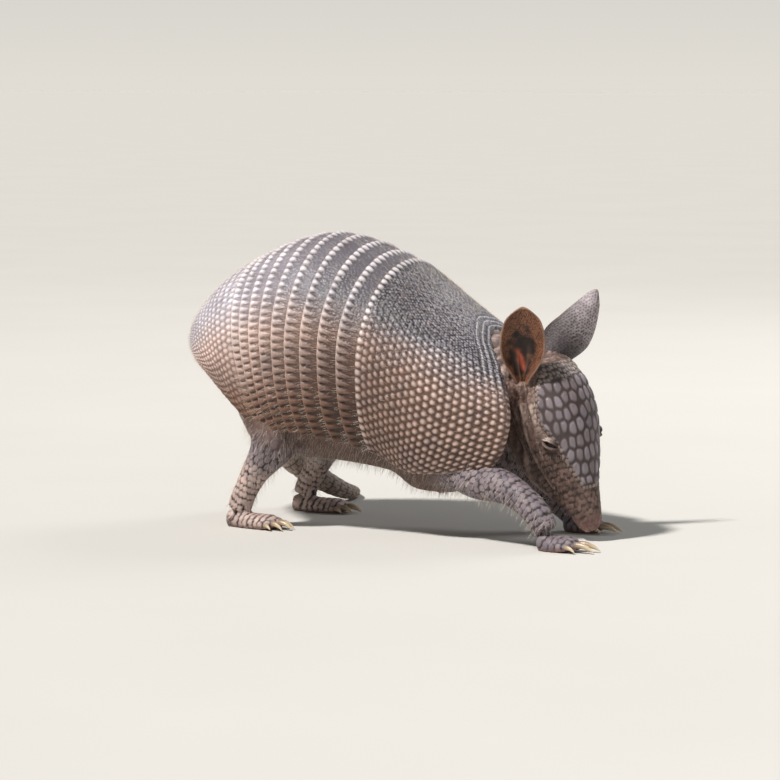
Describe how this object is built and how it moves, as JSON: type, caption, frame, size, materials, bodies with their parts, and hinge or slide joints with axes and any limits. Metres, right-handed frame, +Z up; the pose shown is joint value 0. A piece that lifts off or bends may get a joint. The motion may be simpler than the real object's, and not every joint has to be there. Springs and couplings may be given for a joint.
{
  "type": "armadillo",
  "caption": "Young banded armadillo with an arched back, nosing at the ground with its head down, ears up and tail swept to one side, standing on all its feet.",
  "frame": {"origin": "centre of the object's outline, on the floor it stands on", "axes": "+X the way the animal faces, +Y its left, +Z up"},
  "size_m": [0.2126, 0.1418, 0.1241],
  "materials": {
    "shell": "horny plates, dull with a slight waxy sheen",
    "head_shield": "horny plates, dull with a slight waxy sheen",
    "skin": "soft wrinkled skin, matt",
    "limb_scales": "small scales, matt",
    "tail_rings": "ringed scales, matt",
    "eye": "wet and glossy",
    "claw": "horn, satin"
  },
  "bodies": {
    "root": {"scapular_shield": "shell", "band_1": "shell", "band_2": "shell", "band_3": "shell", "band_4": "shell", "band_5": "shell", "band_6": "shell", "band_7": "shell", "band_8": "shell", "band_9": "shell", "pelvic_shield": "shell", "trunk": "skin", "head": "skin", "neck": "skin", "ear_right": "skin", "ear_left": "skin", "eye_right": "eye", "eye_left": "eye", "head_shield": "head_shield", "fore_right_leg": "limb_scales", "fore_right_foot": "limb_scales", "fore_right_claw_1": "claw", "fore_right_claw_2": "claw", "fore_right_claw_3": "claw", "fore_right_claw_4": "claw", "fore_left_leg": "limb_scales", "fore_left_foot": "limb_scales", "fore_left_claw_1": "claw", "fore_left_claw_2": "claw", "fore_left_claw_3": "claw", "fore_left_claw_4": "claw", "hind_right_leg": "limb_scales", "hind_right_foot": "limb_scales", "hind_right_claw_1": "claw", "hind_right_claw_2": "claw", "hind_right_claw_3": "claw", "hind_right_claw_4": "claw", "hind_right_claw_5": "claw", "hind_left_leg": "limb_scales", "hind_left_foot": "limb_scales", "hind_left_claw_1": "claw", "hind_left_claw_2": "claw", "hind_left_claw_3": "claw", "hind_left_claw_4": "claw", "hind_left_claw_5": "claw", "tail_1": "tail_rings", "tail_2": "tail_rings", "tail_3": "tail_rings", "tail_4": "tail_rings", "tail_5": "tail_rings", "tail_6": "tail_rings"}
  },
  "joints": []
}
